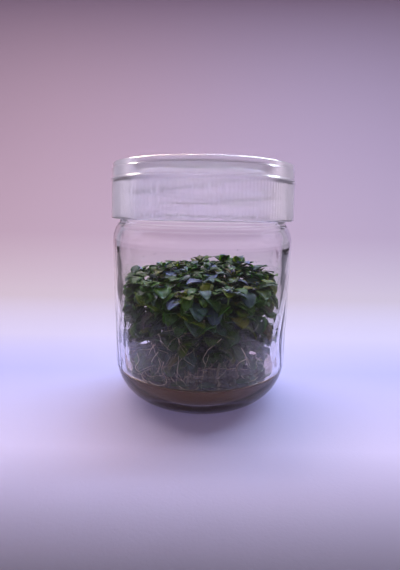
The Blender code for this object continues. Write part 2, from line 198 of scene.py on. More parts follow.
# The table under the paper is dark, so the glass mirrors no bright floor from the sides
TABLE_ACROSS, TABLE_DEEP = 17, 9
PAPER_THICK = 0.0006
table_x, table_y = np.meshgrid(np.linspace(-1.6, 1.6, TABLE_ACROSS), np.linspace(-1.2, 0.5, TABLE_DEEP))
table = put_mesh(
    "table_top",
    np.stack([table_x, table_y, np.full(table_x.shape, -PAPER_THICK)], -1).reshape(-1, 3),
    grid_faces(TABLE_DEEP, TABLE_ACROSS),
)
felt, tree, shader, coordinates = new_material("table_felt", Roughness=0.9)
nap = add_grain(tree, coordinates, 700.0, 0.2, 0.0003)
grey = ramp(tree, nap, (0.3, (0.05, 0.045, 0.055)), (0.7, (0.08, 0.07, 0.09)))
tree.links.new(grey, shader.inputs["Base Color"])
table.data.materials.append(felt)

LAMP_LONG, LAMP_DEEP = 0.66, 0.12
LAMP_AT = (0.36, 0.62)
LAMP_AIM = (0.18, 0.04)


def long_lamp(name, side, power, colour):
    """A long area lamp above and behind the jar, at a place to the side, turned down to the paper behind the jar.
    LAMP_AT and LAMP_AIM are y and z of the lamp and of the place that it is turned to."""
    lamp = bpy.data.lights.new(name, "AREA")
    lamp.shape = "RECTANGLE"
    lamp.size = LAMP_LONG
    lamp.size_y = LAMP_DEEP
    lamp.energy = power
    lamp.color = colour
    place = Vector((side, *LAMP_AT))
    target = Vector((side, *LAMP_AIM))
    holder = bpy.data.objects.new(name, lamp)
    holder.location = place
    holder.rotation_euler = (place - target).to_track_quat("Z", "Y").to_euler()
    bpy.context.scene.collection.objects.link(holder)


long_lamp("warm_lamp", -0.34, 3.85, (1.0, 0.84, 0.76))
long_lamp("cool_lamp", 0.34, 4.45, (0.74, 0.84, 1.0))

# The room is dark below the table, dim overhead, pale beyond the jar, and has a bright band low behind the viewer
world = bpy.data.worlds.new("room")
world.use_nodes = True
tree = world.node_tree
ahead = tree.nodes.new("ShaderNodeTexCoord")
ways = tree.nodes.new("ShaderNodeSeparateXYZ")
tree.links.new(ahead.outputs["Generated"], ways.inputs[0])
beyond = joined(tree, "MapRange", ways.outputs["Y"], From_Min=-0.1, From_Max=0.5)
high = joined(tree, "MapRange", ways.outputs["Z"], From_Min=0.35, From_Max=0.5)
near_tint = ramp(tree, high, (0.0, (1.08, 0.90, 1.14)), (1.0, (0.05, 0.03, 0.03)))
room_tint = joined(tree, "MixRGB", beyond, near_tint, (0.40, 0.35, 0.46, 1.0))
above = joined(tree, "MapRange", ways.outputs["Z"], From_Min=-0.02, From_Max=0.01)
room_light = joined(tree, "MixRGB", above, (0.03, 0.025, 0.03, 1.0), room_tint)
tree.links.new(room_light, tree.nodes["Background"].inputs["Color"])
tree.nodes["Background"].inputs["Strength"].default_value = 1.0
bpy.context.scene.world = world

# The camera stands where the photo was taken from. Its focal length is in pixels of the photo, like its height,
# and the angles by which it looks down and is rolled are in radians.
FOCAL, PHOTO_HEIGHT = 400.5, 570
SENSOR = 36.0
LOOKS_DOWN, ROLLED = 0.178, 0.018
camera_data = bpy.data.cameras.new("camera")
camera_data.sensor_width = SENSOR
camera_data.lens = FOCAL / PHOTO_HEIGHT * SENSOR
camera_data.clip_start = 0.005
camera = bpy.data.objects.new("camera", camera_data)
camera.location = (-0.0006, -0.1761, 0.0807)
pitch = Matrix.Rotation(math.pi / 2 - LOOKS_DOWN, 4, "X")
roll = Matrix.Rotation(ROLLED, 4, "Z")
camera.rotation_euler = (pitch @ roll).to_euler()
bpy.context.scene.collection.objects.link(camera)
bpy.context.scene.camera = camera
bpy.context.scene.view_settings.view_transform = "Standard"

# Glass jar
# Pressed clear soda glass in one piece: a push-up foot with a stippled ring, a wide round heel, a slightly tapered
# wall, a shoulder, and a neck with three threads. The wall's inner face is a little wavy from pressing.
JAR_AROUND = 324
THREADS = 3
THREAD_LEAD = 17.0
THREAD_SWEEP = math.radians(128)
THREAD_START = math.radians(-87)
THREAD_FOOT = 85.4
THREAD_DEPTH = 1.25
THREAD_HALF = 1.15


def turn_profile(name, profile, around, change):
    """A profile from axis to axis turned round Z: point (i, j) is profile point i at angle j, closed at both poles.
    change(radius, height, angle) moves the rings' points, and takes and gives whole arrays."""
    inner = profile[1:-1]
    angle = np.arange(around) * math.tau / around
    radius = np.repeat(inner[:, :1], around, 1)
    height = np.repeat(inner[:, 1:], around, 1)
    turned = np.repeat(angle[None, :], len(inner), 0)
    radius, height = change(radius, height, turned)
    ring = np.stack([radius * np.cos(turned), radius * np.sin(turned), height], -1)
    poles = [[0, 0, profile[0, 1]], [0, 0, profile[-1, 1]]]
    points = np.concatenate([ring.reshape(-1, 3), poles])
    quads = grid_faces(len(inner), around, True)
    j = np.arange(around)
    first = np.stack([(j + 1) % around, j, np.full(around, len(points) - 2)], -1)
    base = (len(inner) - 1) * around
    last = np.stack([base + j, base + (j + 1) % around, np.full(around, len(points) - 1)], -1)
    faces = quads[:, ::-1].tolist() + first[:, ::-1].tolist() + last[:, ::-1].tolist()
    return put_mesh(name, points, faces)


def arc(centre, half, start, stop, steps):
    """Points on an ellipse from one angle to another, in degrees."""
    a = np.radians(np.linspace(start, stop, steps))
    return np.stack([centre[0] + half[0] * np.cos(a), centre[1] + half[1] * np.sin(a)], -1)


def line(start, stop, steps):
    """Points on a straight line, without its last one."""
    return np.linspace(start, stop, steps, endpoint=False)


jar_inside = np.concatenate(
    [
        line((0.0, 4.6), (12.0, 4.4), 8),
        arc((20.6, 18.5), (14.2, 14.2), -95, 0, 30)[2:],
        line((34.85, 19.5), (35.5, 66.0), 24),
        arc((31.7, 66.5), (3.8, 8.5), 0, 58, 16),
        arc((36.0, 78.6), (3.7, 5.4), 228, 180, 12),
        line((32.3, 79.2), (32.3, 94.4), 16),
    ]
)
jar_outside = np.concatenate(
    [
        arc((33.6, 94.7), (1.3, 1.3), 180, 0, 14),
        line((34.9, 94.2), (34.9, 84.6), 44),
        arc((35.5, 84.4), (0.6, 0.5), 180, 262, 4),
        arc((35.5, 83.1), (0.6, 0.8), 90, 0, 5),
        arc((35.5, 80.4), (0.6, 0.8), 0, -90, 5),
        arc((36.7, 78.2), (1.9, 1.6), 150, 222, 8),
        arc((33.6, 67.6), (4.68, 9.6), 68, 0, 18),
        line((38.28, 66.5), (37.6, 18.6), 24),
        arc((21.1, 18.5), (16.5, 18.5), 0, -90, 40),
        line((20.4, 0.0), (18.6, 0.0), 4),
        line((18.2, 0.06), (0.0, 1.0), 12),
        [(0.0, 1.0)],
    ]
)


def jar_surface(radius, height, angle):
    """The turned wall with its three threads, the stipples of the foot ring and the slow waves of pressed glass.
    A thread is a rounded ridge along a helix: its height falls off with the distance from the helix and at its ends.
    Low on the inner wall, mostly at the sides, water stands in upright runs: a steep wave of the angle."""
    outside = (radius > 34.5) & (height > 84.2) & (height < 95)
    for start in range(THREADS):
        first = THREAD_START + start * math.tau / THREADS
        along = (angle - first) % math.tau
        share = along / THREAD_SWEEP
        centre = THREAD_FOOT + THREAD_LEAD * along / math.tau
        near = np.exp(-(((height - centre) / THREAD_HALF) ** 4))
        taper = np.clip(np.minimum(share, 1 - share) * 9, 0, 1)
        radius = radius + np.where(outside & (share < 1), THREAD_DEPTH * near * taper, 0)
    inside_wall = (radius < 36.0) & (height > 20) & (height < 70)
    wave = np.sin(5 * angle + height / 9) * np.sin(3 * angle - height / 15)
    fine = np.sin(23 * angle + 3 * np.sin(height / 6)) * np.sin(height / 4.2 + 2 * np.sin(4 * angle))
    radius = radius + np.where(inside_wall, 0.08 * wave + 0.02 * fine, 0)
    runs = np.tanh(2.5 * np.sin(43 * angle + 1.7 * np.sin(height / 5 + 2) + 2.5 * np.sin(7 * angle)))
    wet = np.clip((height - 15) / 5, 0, 1) * np.clip((46 - height) / 10, 0, 1) * np.cos(angle) ** 2
    radius = radius - np.where((radius < 36.0) & (height < 50), 0.05 * wet * (1 + runs), 0)
    ring = np.exp(-(((height - 0.9) / 0.55) ** 2)) * (radius > 20) * (radius < 31)
    stipple = np.maximum(0, np.cos(angle * 54)) ** 3
    return radius + 0.18 * ring * stipple, height


def in_mm(change):
    """Lets a change that reckons in millimetres work on arrays in metres."""

    def wrapped(radius, height, angle):
        r, h = change(radius / MM, height / MM, angle)
        return r * MM, h * MM

    return wrapped


jar_profile = np.concatenate([jar_inside, jar_outside]) * MM
jar = turn_profile("jar_wall", jar_profile, JAR_AROUND, in_mm(jar_surface))
glass, tree, shader, coordinates = new_material("jar_glass", Transmission_Weight=1.0, IOR=1.5)
smear = add_grain(tree, coordinates, 70.0, 0.10, 0.0005)
clear = ramp(tree, smear, (0.3, (0.98, 0.975, 0.985)), (0.7, (0.995, 0.99, 0.997)))
dull = joined(tree, "MapRange", smear, From_Min=0.45, From_Max=0.8, To_Min=0.0, To_Max=0.05)
tree.links.new(dull, shader.inputs["Roughness"])

# Dark patches in the glass's colour, broken up by noise: (place, half sizes) in millimetres
DARK_PATCHES = (
    ((-31.2, -21.6, 71.0), (2.4, 3.0, 5.2)),
    ((-35.3, -14.3, 54.0), (1.6, 2.5, 3.4)),
    ((29.6, -24.1, 54.3), (1.8, 2.4, 3.4)),
    ((28.6, -25.4, 68.5), (3.0, 3.6, 7.0)),
)
streaky = joined(tree, "Mapping", coordinates.outputs["Object"], Scale=(900.0, 900.0, 230.0))
torn = joined(tree, "TexNoise", streaky, Scale=1.0, Detail=3.0)
patch_mask = 0.0
for centre, half in DARK_PATCHES:
    near = node(tree, "Mapping", vector_type="TEXTURE")
    near.inputs["Location"].default_value = [n * MM for n in centre]
    near.inputs["Scale"].default_value = [n * MM for n in half]
    tree.links.new(coordinates.outputs["Object"], near.inputs["Vector"])
    apart = node(tree, "VectorMath", operation="LENGTH")
    tree.links.new(near.outputs[0], apart.inputs[0])
    patch = joined(tree, "MapRange", apart.outputs["Value"], From_Min=1.0, From_Max=0.3, To_Min=0.0, To_Max=1.0)
    patch_mask = joined(tree, "Math", patch_mask, patch, operation="MAXIMUM")
flecks = joined(tree, "MapRange", torn, From_Min=0.47, From_Max=0.62, To_Min=0.0, To_Max=0.8)
patch_darkening = joined(tree, "Math", patch_mask, flecks, operation="MULTIPLY")
clear_with_patches = joined(tree, "MixRGB", patch_darkening, clear, (0.20, 0.10, 0.16, 1.0))
tree.links.new(clear_with_patches, shader.inputs["Base Color"])


def let_light_in(tree, shader, colour):
    """Shadow rays pass straight through, with a tint, so that what stands inside is lit."""
    path = tree.nodes.new("ShaderNodeLightPath")
    pass_on = tree.nodes.new("ShaderNodeBsdfTransparent")
    pass_on.inputs["Color"].default_value = (*colour, 1.0)
    mix = tree.nodes.new("ShaderNodeMixShader")
    tree.links.new(path.outputs["Is Shadow Ray"], mix.inputs[0])
    tree.links.new(shader.outputs[0], mix.inputs[1])
    tree.links.new(pass_on.outputs[0], mix.inputs[2])
    tree.links.new(mix.outputs[0], tree.nodes["Material Output"].inputs["Surface"])


let_light_in(tree, shader, (0.96, 0.955, 0.97))
jar.data.materials.append(glass)
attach(jar, "jar")
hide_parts("glass_jar")

# Nutrient gel
# Set amber agar that was poured hot, so it wets the glass: its side lies on the glass, its top is flat, and it
# climbs the wall in a small meniscus. It has gone brown with the plants' growth.
GEL_TOP = 14.5
GEL_AROUND = 216
gel_profile = np.concatenate(
    [
        line((0.0, 4.52), (12.0, 4.34), 8),
        arc((20.6, 18.5), (14.24, 14.24), -95, -13, 26)[2:],
        [(34.15, 15.15), (33.7, 14.86), (33.1, 14.66), (32.3, 14.55)],
        line((31.2, GEL_TOP), (0.0, GEL_TOP), 24),
        [(0.0, GEL_TOP)],
    ]
)


def gel_surface(radius, height, angle):
    """The gel's top is dented a little where roots and leaves sank into it while it was fresh."""
    top = (height > GEL_TOP - 0.3) & (radius < 33.0)
    dent = np.sin(7 * angle + radius / 3) * np.sin(radius / 2.3 - 2 * angle)
    fine = np.sin(1.3 * radius * np.cos(angle) + 2) * np.sin(1.1 * radius * np.sin(angle))
    lift = 0.16 * dent * np.clip(radius / 8, 0, 1) + 0.10 * fine
    return radius, height + np.where(top, lift * np.clip((33.5 - radius) / 3, 0, 1), 0)


gel = turn_profile("gel_body", gel_profile * MM, GEL_AROUND, in_mm(gel_surface))
amber, tree, shader, coordinates = new_material(
    "amber_gel", Roughness=0.04, Transmission_Weight=0.96, IOR=1.34
)
cloud = add_grain(tree, coordinates, 90.0, 0.06, 0.0004)
tone = ramp(
    tree,
    cloud,
    (0.3, (0.88, 0.62, 0.30)),
    (0.55, (0.95, 0.76, 0.44)),
    (0.75, (0.97, 0.80, 0.60)),
)
tree.links.new(tone, shader.inputs["Base Color"])
absorb = node(tree, "VolumeAbsorption", Color=(0.78, 0.55, 0.22, 1.0), Density=135.0)
tree.links.new(absorb.outputs[0], tree.nodes["Material Output"].inputs["Volume"])
let_light_in(tree, shader, (0.74, 0.50, 0.26))
gel.data.materials.append(amber)
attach(gel, "jar")
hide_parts("nutrient_gel")

# Stems
# Each plantlet has one thin stalk, a little crooked, green above and reddish near the gel, with the scars of its
# lower leaves. It is rooted a few millimetres deep in the gel and leans out from the middle of the jar.
SHOOTS = 24


def tube(paths, radii, sides):
    """Closed tubes along paths: points of ring i are path point i plus its two normals times cos and sin.
    paths is (n, k, 3) and radii (n, k). Gives the points and faces of all n tubes, with fans at their ends."""
    n, k, _ = paths.shape
    step = np.gradient(paths, axis=1)
    step /= np.linalg.norm(step, axis=2, keepdims=True) + 1e-12
    guide = np.broadcast_to([0.31, 0.95, 0.05], step.shape)
    side = np.cross(step, guide)
    side /= np.linalg.norm(side, axis=2, keepdims=True) + 1e-12
    up = np.cross(step, side)
    a = np.arange(sides) * math.tau / sides
    wheel = side[:, :, None] * np.cos(a)[None, None, :, None]
    wheel = wheel + up[:, :, None] * np.sin(a)[None, None, :, None]
    ring = paths[:, :, None] + wheel * radii[:, :, None, None]
    points = np.concatenate([ring.reshape(n, k * sides, 3), paths[:, :1], paths[:, -1:]], 1)
    one = grid_faces(k, sides, True)
    j = np.arange(sides)
    low = np.stack([(j + 1) % sides, j, np.full(sides, k * sides)], -1)
    top = (k - 1) * sides + j
    high = np.stack([top, (k - 1) * sides + (j + 1) % sides, np.full(sides, k * sides + 1)], -1)
    count = k * sides + 2
    faces = []
    for i in range(n):
        faces += (one + i * count).tolist() + (low + i * count).tolist() + (high + i * count).tolist()
    return points.reshape(-1, 3), faces


def mark_points(piece, values, name):
    """Puts one number per point into an attribute that materials read."""
    layer = piece.data.attributes.new(name, "FLOAT", "POINT")
    layer.data.foreach_set("value", np.asarray(values, np.float32).ravel())


def marks(tree, name):
    """The output of an attribute of the points."""
    return node(tree, "Attribute", attribute_name=name).outputs["Fac"]


def cad_points(name):
    """The points of a CAD node's mesh as an (n, 3) array."""
    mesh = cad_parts[name].data
    points = np.empty(len(mesh.vertices) * 3, np.float32)
    mesh.vertices.foreach_get("co", points)
    return points.reshape(-1, 3)


stalk, tree, shader, coordinates = new_material("stalk", Roughness=0.42, Coat_Weight=0.25)
place = node(tree, "SeparateXYZ")
tree.links.new(coordinates.outputs["Object"], place.inputs[0])
green = ramp(
    tree,
    joined(tree, "MapRange", place.outputs["Z"], From_Min=0.012, From_Max=0.050),
    (0.0, (0.10, 0.07, 0.04)),
    (0.35, (0.08, 0.10, 0.03)),
    (1.0, (0.07, 0.14, 0.03)),
)
tree.links.new(green, shader.inputs["Base Color"])
add_grain(tree, coordinates, 1600.0, 0.3, 0.0002)

crown_foot = {}
for number in range(1, SHOOTS + 1):
    stem_low, stem_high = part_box(f"stem_{number:02d}")
    corners = cad_points(f"stem_{number:02d}")
    foot = corners[corners[:, 2] < stem_low[2] + 0.0001].mean(0)
    tip = corners[corners[:, 2] > stem_high[2] - 0.0001].mean(0)
    crown_foot[number] = np.array([tip[0], tip[1], stem_high[2]])
    t = np.linspace(0, 1, 28)[:, None]
    path = np.array([foot[0], foot[1], stem_low[2]]) * (1 - t) + crown_foot[number] * t
    swing = 0.35 * MM * np.sin(np.pi * t[:, 0])
    path[:, 0] += swing * np.sin(5 * t[:, 0] * math.pi + number)
    path[:, 1] += swing * np.cos(4 * t[:, 0] * math.pi + 2 * number)
    thick = (0.58 - 0.2 * t[:, 0]) * MM
    thick = thick * (1 + 0.14 * np.maximum(0, np.cos(t[:, 0] * math.tau * 5)) ** 6)
    points, faces = tube(path[None], thick[None], 8)
    stem = put_mesh(f"stalk_{number:02d}", points, faces)
    stem.data.materials.append(stalk)
    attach(stem, "jar")
    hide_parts(f"stem_{number:02d}")

# Leaf crowns
# The newest leaves of each plantlet: five open ones round the stem's tip and small upright ones between them.
# They are waxy blades folded along the midrib, dark green, with some olive and bronze among the young ones.
LEAF_ALONG = 7
LEAF_ACROSS = 5


def blades(base, azimuth, elevation, length, width, droop, fold, twist, thick=0.13 * MM):
    """Closed leaf blades. u runs from base to tip and v from edge to edge. The half width is width / 2 times
    sin(pi (0.04 + 0.95 u)^0.85)^0.55, drawn out into a short stalk at the base. The midrib starts at the elevation
    and bends down by droop over its length, the edges rise by fold times the half width, and the upper and lower
    faces meet there."""
    n = len(base)
    u = np.linspace(0, 1, LEAF_ALONG) ** 0.92
    v = np.linspace(-1, 1, LEAF_ACROSS)
    shape = np.abs(np.sin(math.pi * np.clip(0.04 + 0.95 * u, 0, 1) ** 0.85)) ** 0.55
    shape = np.maximum(shape * np.clip(u * 6, 0.12, 1), 0.03)
    tilt = elevation[:, None] - droop[:, None] * u[None, :]
    step = length[:, None] * np.diff(u)[None]
    out = np.concatenate([np.zeros((n, 1)), np.cumsum(np.cos(tilt[:, 1:]) * step, 1)], 1)
    high = np.concatenate([np.zeros((n, 1)), np.cumsum(np.sin(tilt[:, 1:]) * step, 1)], 1)
    half = width[:, None] / 2 * shape[None, :]
    side = half[:, :, None] * v[None, None, :]
    ripple = 0.08 * np.sin(7 * u[None, :, None] + 3 * v[None, None, :] + twist[:, None, None] * 9)
    lift = (fold[:, None, None] * np.abs(v) + ripple * v**2) * half[:, :, None]
    lift = lift + twist[:, None, None] * side * u[None, :, None]
    swell = (1 - v**2)[None, None, :] * thick * np.minimum(1, 6 * (1 - u) + 0.15)[None, :, None]
    normal_out = -np.sin(tilt)[:, :, None]
    normal_up = np.cos(tilt)[:, :, None]
    ca, sa = np.cos(azimuth)[:, None, None], np.sin(azimuth)[:, None, None]

    def face(offset):
        o = out[:, :, None] + normal_out * (lift + offset)
        z = high[:, :, None] + normal_up * (lift + offset)
        return np.stack([o * ca - side * sa, o * sa + side * ca, z], -1) + base[:, None, None, :]

    upper = face(swell)
    lower = face(-swell)[:, :, 1:-1]
    k, m = LEAF_ALONG, LEAF_ACROSS
    count = k * m + k * (m - 2)
    points = np.concatenate([upper.reshape(n, k * m, 3), lower.reshape(n, k * (m - 2), 3)], 1)
    top = grid_faces(k, m)
    ids = np.arange(k * m).reshape(k, m)
    under = ids.copy()
    under[:, 1:-1] = k * m + np.arange(k * (m - 2)).reshape(k, m - 2)
    a, b, c, d = under[:-1, :-1], under[:-1, 1:], under[1:, 1:], under[1:, :-1]
    bottom = np.stack([a, d, c, b], -1).reshape(-1, 4)
    ends = []
    for row, flip in ((0, False), (k - 1, True)):
        for q in range(m - 1):
            loop = [ids[row, q], under[row, q], under[row, q + 1], ids[row, q + 1]]
            loop = list(dict.fromkeys(int(i) for i in loop))
            ends.append(loop[::-1] if flip else loop)
    one = [list(map(int, f)) for f in top[:, ::-1]] + [list(map(int, f)) for f in bottom[:, ::-1]] + ends
    faces = [[i + leaf * count for i in f] for leaf in range(n) for f in one]
    uv_u = np.concatenate([np.repeat(u, m), np.repeat(u, m - 2)])
    uv_v = np.concatenate([np.tile(v, k), np.tile(v[1:-1], k)])
    return points.reshape(-1, 3), faces, np.tile(uv_u, n), np.tile(uv_v, n), count


def leaf_piece(name, material, painted_sheen_share, base, azimuth, elevation, length, width, droop, fold, twist, tone):
    """Many blades as one mesh, with their own u, v, tone and painted sheen in attributes. About one blade in four
    gets some painted bluish sheen in its colour, as a share from 0 to 1 times painted_sheen_share."""
    points, faces, u, v, count = blades(base, azimuth, elevation, length, width, droop, fold, twist)
    piece = put_mesh(name, points, faces)
    mark_points(piece, u, "leaf_u")
    mark_points(piece, v, "leaf_v")
    mark_points(piece, np.repeat(tone, count), "tone")
    # Painted sheen: a share from 0 to 1 of a painted bluish sheen, for about one blade in four.
    painted_sheen = painted_sheen_share * np.clip(4 * np.sin(np.arange(len(tone)) * 2.4 + 40 * tone[0]) - 2.75, 0, 1)
    mark_points(piece, np.repeat(painted_sheen, count), "painted_sheen")
    piece.data.materials.append(material)
    return piece


def make_veins():
    """The node group veins: from the places Along and Across a blade, a Mask that is 1 on the midrib and weaker on
    the side veins, which leave it at a slant."""
    group = bpy.data.node_groups.new("veins", "ShaderNodeTree")
    for name in ("Along", "Across"):
        group.interface.new_socket(name=name, in_out="INPUT", socket_type="NodeSocketFloat")
    group.interface.new_socket(name="Mask", in_out="OUTPUT", socket_type="NodeSocketFloat")
    start = group.nodes.new("NodeGroupInput")
    end = group.nodes.new("NodeGroupOutput")
    apart = joined(group, "Math", start.outputs["Across"], operation="ABSOLUTE")
    slant = joined(group, "Math", apart, -0.22, start.outputs["Along"], operation="MULTIPLY_ADD")
    wave = joined(group, "Math", slant, 44.0, operation="MULTIPLY")
    rows = joined(group, "Math", wave, operation="SINE")
    side_vein = joined(group, "MapRange", rows, From_Min=0.75, From_Max=1.0, To_Max=0.45)
    midrib = joined(group, "MapRange", apart, From_Min=0.0, From_Max=0.16, To_Min=1.0, To_Max=0.0)
    group.links.new(joined(group, "Math", side_vein, midrib, operation="MAXIMUM"), end.inputs["Mask"])
    return group


VEINS = make_veins()


def leaf_material(name, stops, vein_colour):
    """Waxy leaf: its tone picks a colour from the stops, blotches darken it, its veins are paler, and where
    painted_sheen is set, a bluish painted sheen is mixed into its colour."""
    material, tree, shader, coordinates = new_material(name, Subsurface_Weight=0.5)
    shader.inputs["Subsurface Radius"].default_value = (0.6, 1.0, 0.2)
    shader.inputs["Subsurface Scale"].default_value = 0.6 * MM
    shader.inputs["Specular IOR Level"].default_value = 0.22
    shader.inputs["Specular Tint"].default_value = (0.42, 0.55, 1.0, 1.0)
    veins = tree.nodes.new("ShaderNodeGroup")
    veins.node_tree = VEINS
    tree.links.new(marks(tree, "leaf_u"), veins.inputs["Along"])
    tree.links.new(marks(tree, "leaf_v"), veins.inputs["Across"])
    blotch = add_grain(tree, coordinates, 420.0, 0.3, 0.00015)
    darken = ramp(tree, blotch, (0.3, (0.62, 0.60, 0.66)), (0.7, (1.0, 1.0, 1.0)))
    green = ramp(tree, marks(tree, "tone"), *stops)
    shade = joined(tree, "MixRGB", 1.0, green, darken, blend_type="MULTIPLY")
    amount = joined(tree, "Math", veins.outputs["Mask"], 0.3, operation="MULTIPLY")
    pale = joined(tree, "MixRGB", amount, shade, (*vein_colour, 1.0))
    # A painted bluish sheen is mixed into the colour of the blades that carry it.
    painted_sheen_mask = joined(tree, "Math", marks(tree, "painted_sheen"), blotch, operation="MULTIPLY")
    with_painted_sheen = joined(tree, "MixRGB", painted_sheen_mask, pale, (0.17, 0.21, 0.40, 1.0))
    tree.links.new(with_painted_sheen, shader.inputs["Base Color"])
    rough = joined(tree, "MapRange", blotch, To_Min=0.34, To_Max=0.55)
    tree.links.new(rough, shader.inputs["Roughness"])
    return material


young_leaf = leaf_material(
    "young_leaf",
    (
        (0.0, (0.012, 0.037, 0.002)),
        (0.3, (0.022, 0.060, 0.002)),
        (0.55, (0.048, 0.076, 0.002)),
        (0.8, (0.093, 0.072, 0.002)),
        (1.0, (0.093, 0.043, 0.004)),
    ),
    (0.20, 0.24, 0.05),
)
old_leaf = leaf_material(
    "old_leaf",
    (
        (0.0, (0.009, 0.031, 0.001)),
        (0.35, (0.019, 0.060, 0.001)),
        (0.65, (0.037, 0.089, 0.002)),
        (0.85, (0.111, 0.128, 0.003)),
        (1.0, (0.093, 0.055, 0.004)),
    ),
    (0.09, 0.15, 0.03),
)
STEEP_CROWNS = (5, 6)
dice = np.random.default_rng(7)

for number in range(1, SHOOTS + 1):
    name = f"leaf_crown_{number:02d}"
    middle = crown_foot[number]
    apart = cad_points(name) - middle
    reach = np.hypot(apart[:, 0], apart[:, 1])
    farthest = apart[reach.argmax()]
    phase = math.atan2(farthest[1], farthest[0])
    span = reach.max()
    turn = phase + np.arange(5) * math.tau / 5 + dice.normal(0, 0.07, 5)
    small = phase + math.pi / 5 + np.arange(4) * math.tau * 0.4
    azimuth = np.concatenate([turn, small])
    elevation = np.radians([14, 36, 20, 40, 24, 58, 62, 70, 76])
    elevation = elevation + dice.normal(0, 0.06, 9)
    length = span * np.array([1.0, 0.98, 0.97, 0.98, 0.96, 0.66, 0.60, 0.44, 0.38]) * 1.1
    width = length * np.array([0.80, 0.78, 0.82, 0.78, 0.80, 0.74, 0.72, 0.66, 0.6])
    lift = np.array([0.2, 1.1, 0.5, 1.3, 0.8, 1.9, 2.1, 2.3, 2.4]) * MM
    if number in STEEP_CROWNS:
        elevation, length = elevation + 0.3, length * 1.15
    base = middle + np.stack([0.2 * MM * np.cos(azimuth), 0.2 * MM * np.sin(azimuth), lift], -1)
    tone = np.clip(dice.normal(0.42, 0.28) + dice.normal(0, 0.16, 9), 0, 1)
    # The crowns' blades carry the full share of painted bluish sheen.
    crown = leaf_piece(
        f"crown_{number:02d}",
        young_leaf,
        1.0,
        base,
        azimuth,
        elevation,
        length,
        width,
        np.radians(dice.uniform(35, 75, 9)),
        dice.uniform(0.08, 0.3, 9),
        dice.normal(0, 0.12, 9),
        tone,
    )
    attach(crown, "jar")
    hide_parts(name)

# Undergrowth
# Side shoots and lower leaves fill the space between the main stems and press against the glass all round. Their
# leaves are older and darker. Near the gel the clump is narrower, so the glass is bare there.
GLASS_INSIDE = 34.6 * MM


def canopy(x, y):
    """Height of the clump's top over a place: nearly flat, falling a little to the glass and to the front, with
    a hump to the right of the middle."""
    share = np.hypot(x, y) / (34.0 * MM)
    hump = 2.6 * np.exp(-(((x - 13 * MM) ** 2 + (y - 4 * MM) ** 2) / (9 * MM) ** 2))
    return (57.6 - 2.4 * np.clip(share, 0, 1.05) ** 4 + 2.6 * y / (34 * MM) + hump) * MM


def room(z, a):
    """Radius that the clump fills at a height and an azimuth: it widens from the gel up to the glass. Low down the
    front, and the right more than the left, are open."""
    full = np.interp(z / MM, [14, 20, 26, 32, 38, 60], [32.0, 33.0, 34.0, 34.6, 34.6, 34.6])
    off = (a + 1.22 + math.pi) % math.tau - math.pi
    open_front = np.interp(z / MM, [14, 20, 24, 28], [20, 16, 9, 0]) * np.exp(-((off / 0.55) ** 4))
    open_right = np.interp(z / MM, [14, 30], [1.5, 0]) * np.clip(np.cos(a), 0, 1)
    return (full - open_front - open_right) * MM


def undergrowth(name, seed, count, inner, outer, low, high, size, tone, hang):
    """Blades scattered over a ring between two shares of the clump's radius, from low up to the canopy less high. The
    share gives the place of a blade's tip. With hang from 0 to 1 they point more nearly away from the jar's axis
    and their tips droop more, so that they show their upper faces to the glass."""
    dice = np.random.default_rng(seed)
    share = np.sqrt(dice.uniform(inner**2, outer**2, count))
    a = dice.uniform(0, math.tau, count)
    top = canopy(share * GLASS_INSIDE * np.cos(a), share * GLASS_INSIDE * np.sin(a)) - high
    z = low + (top - low) * dice.uniform(0, 1, count) ** 0.8
    length = dice.uniform(0.75, 1.25, count) * size
    azimuth = a + dice.normal(0, 1.3 - 0.75 * hang, count)
    elevation = np.radians(dice.uniform(-10, 50, count))
    droop = np.radians(dice.uniform(15 + 25 * hang, 60 + 30 * hang, count))
    reach = length * np.cos(elevation - droop / 2) * (1 - droop**2 / 24)
    step = reach[:, None] * np.stack([np.cos(azimuth), np.sin(azimuth)], -1)
    tip = (share * room(z, a))[:, None] * np.stack([np.cos(a), np.sin(a)], -1)
    foot = tip - step
    far = np.maximum(np.hypot(*foot.T), np.hypot(*tip.T))
    limit = np.minimum(room(z, a) + 1 * MM, GLASS_INSIDE - 0.4 * MM)
    pull = np.clip(far - limit, 0, None)
    foot = foot - pull[:, None] * np.stack([np.cos(a), np.sin(a)], -1)
    # Undergrowth blades carry a small share of painted bluish sheen.
    return leaf_piece(
        name,
        old_leaf,
        0.3,
        np.concatenate([foot, z[:, None]], 1),
        azimuth,
        elevation,
        length,
        length * dice.uniform(0.62, 0.80, count),
        droop,
        dice.uniform(0.05, 0.3, count),
        dice.normal(0, 0.15, count),
        np.clip(dice.normal(tone, 0.22, count), 0, 1),
    )


# Each group: name, seed, blades, inner and outer share, lowest height, gap under the canopy, blade length, tone, hang
UNDERGROWTH = (
    ("undergrowth_core", 11, 340, 0.0, 0.66, 20 * MM, 0.5 * MM, 7.4 * MM, 0.45, 0.2),
    ("undergrowth_ring", 12, 420, 0.60, 0.94, 22 * MM, 0.5 * MM, 7.4 * MM, 0.45, 0.6),
    ("undergrowth_wall", 13, 460, 0.94, 1.0, 20 * MM, 0.2 * MM, 7.4 * MM, 0.42, 1.0),
    ("undergrowth_low", 14, 620, 0.45, 1.0, 15.2 * MM, 26 * MM, 5.2 * MM, 0.40, 0.8),
)
for group in UNDERGROWTH:
    piece = undergrowth(*group)
    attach(piece, "jar")

